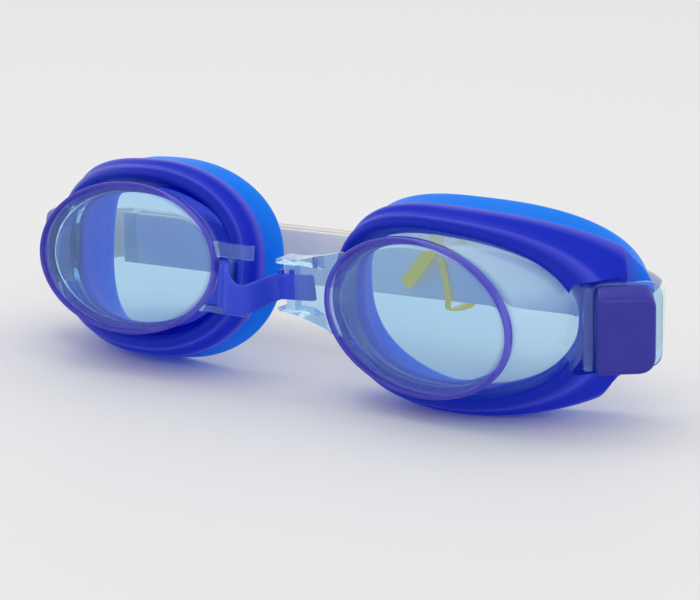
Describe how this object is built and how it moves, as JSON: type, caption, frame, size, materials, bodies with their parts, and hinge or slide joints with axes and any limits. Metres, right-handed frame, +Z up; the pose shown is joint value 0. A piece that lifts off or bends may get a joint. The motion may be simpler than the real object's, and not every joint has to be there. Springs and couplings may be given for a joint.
{
  "type": "swim goggles",
  "caption": "Swim goggles with clear moulded eyecups, soft stepped face seals, an adjustable looped nose bridge, temple clips and a folded elastic headband held by a twist tie.",
  "frame": {"origin": "on the floor under the middle of the outer box, with the goggles standing on their face seals", "axes": "+X to the right seen from the front, along the row of eyecups; -Y the way the lenses face; +Z up"},
  "size_m": [0.1556, 0.0534, 0.0441],
  "materials": {
    "clear_cup": "clear pale blue, polished",
    "soft_seal": "soft translucent blue, satin",
    "clip": "blue, satin gloss",
    "bridge": "flexible blue, satin",
    "band": "pale grey elastic, satin",
    "tie": "gold covered wire"
  },
  "bodies": {
    "right_eyecup": {"right_lens_cup": "clear_cup", "right_gasket": "soft_seal", "right_temple_clip": "clip", "headband": "band", "headband_lead": "band", "strap_tie": "tie"},
    "nose_bridge": {"nose_bridge": "bridge"},
    "left_eyecup": {"left_lens_cup": "clear_cup", "left_gasket": "soft_seal", "left_temple_clip": "clip"}
  },
  "joints": [
    {"name": "bridge_adjust", "type": "slide", "parent": "right_eyecup", "child": "nose_bridge", "axis": [0.9959, -0.0905, -0.0047], "range_m": [-0.002, 0.0025], "deforming": ["headband_lead"]},
    {"name": "left_cup_fold", "type": "hinge", "parent": "nose_bridge", "child": "left_eyecup", "pos_m": [-0.01103, -0.0208, 0.02437], "axis": [0, 0.1219, 0.9925], "range_deg": [-2, 30], "deforming": ["headband_lead"]}
  ]
}
